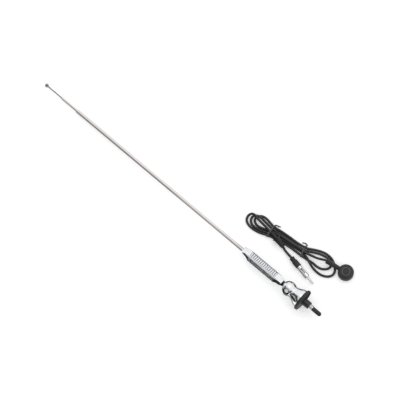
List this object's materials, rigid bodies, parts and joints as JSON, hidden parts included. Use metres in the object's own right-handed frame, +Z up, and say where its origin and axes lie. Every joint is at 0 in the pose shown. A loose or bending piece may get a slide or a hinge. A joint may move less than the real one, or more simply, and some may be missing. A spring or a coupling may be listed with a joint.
{
  "type": "car mast aerial",
  "caption": "Telescopic chrome car mast aerial with ribbed grip, ball swivel, flared base, gasket and mounting bush, beside its own lead with a radio plug and a round boot.",
  "frame": {"origin": "on the ground under the middle of the aerial's own box, the lead left out", "axes": "+X along the aerial from the tip towards the base, +Y towards the lead, +Z up from the ground it lies on"},
  "size_m": [0.6401, 0.1235, 0.0401],
  "materials": {
    "chrome_casting": "polished chrome plating on a zinc casting",
    "tip_chrome": "dark polished chrome",
    "stainless_tube": "polished stainless tube",
    "brass": "turned brass",
    "spring_brass": "spring brass strip",
    "zinc_plated": "bright zinc plating",
    "gasket_rubber": "matt moulded rubber",
    "black_plastic": "smooth black plastic",
    "fibre": "dark vulcanised fibre",
    "boot_rubber": "matt moulded rubber",
    "shrink_sleeve": "satin shrink sleeve",
    "cable_jacket": "satin cable jacket",
    "tie_plastic": "plastic coated wire",
    "plug_nickel": "bright nickel plating",
    "plug_insulation": "pale moulded plastic"
  },
  "bodies": {
    "base": {"base_bell": "chrome_casting", "gasket": "gasket_rubber", "mount_bush": "black_plastic", "base_stud": "zinc_plated", "end_sleeve": "black_plastic", "swivel_screw": "zinc_plated", "swivel_washer": "zinc_plated", "swivel_nut": "zinc_plated", "friction_disc": "fibre", "stud_boot": "boot_rubber", "boot_contact": "zinc_plated", "boot_sleeve": "shrink_sleeve", "lead_tail": "cable_jacket", "lead_hank": "cable_jacket", "rear_tie": "tie_plastic", "front_tie": "tie_plastic", "inline_sleeve": "shrink_sleeve", "plug_tail": "cable_jacket", "plug_boot": "boot_rubber", "plug_barrel": "plug_nickel", "plug_insulator": "plug_insulation", "plug_pin": "plug_nickel"},
    "mast": {"grip": "chrome_casting", "neck_ring": "black_plastic", "outer_tube": "stainless_tube", "swivel_half": "chrome_casting"},
    "middle_section": {"middle_tube": "stainless_tube", "middle_stop": "brass", "middle_spring": "spring_brass"},
    "tip_section": {"tip_rod": "stainless_tube", "tip_ball": "tip_chrome", "tip_stop": "brass", "tip_spring": "spring_brass"}
  },
  "joints": [
    {"name": "ball_swivel", "type": "hinge", "parent": "base", "child": "mast", "pos_m": [0.24773, 0, 0.01917], "axis": [-0.0181, -0.766, 0.6425], "range_deg": [-90, 90]},
    {"name": "middle_slide", "type": "slide", "parent": "mast", "child": "middle_section", "axis": [-0.9996, 0, -0.0282], "range_m": [-0.036, 0.3815]},
    {"name": "tip_slide", "type": "slide", "parent": "middle_section", "child": "tip_section", "axis": [-0.9996, 0, -0.0282], "range_m": [-0.0325, 0.3675]}
  ]
}
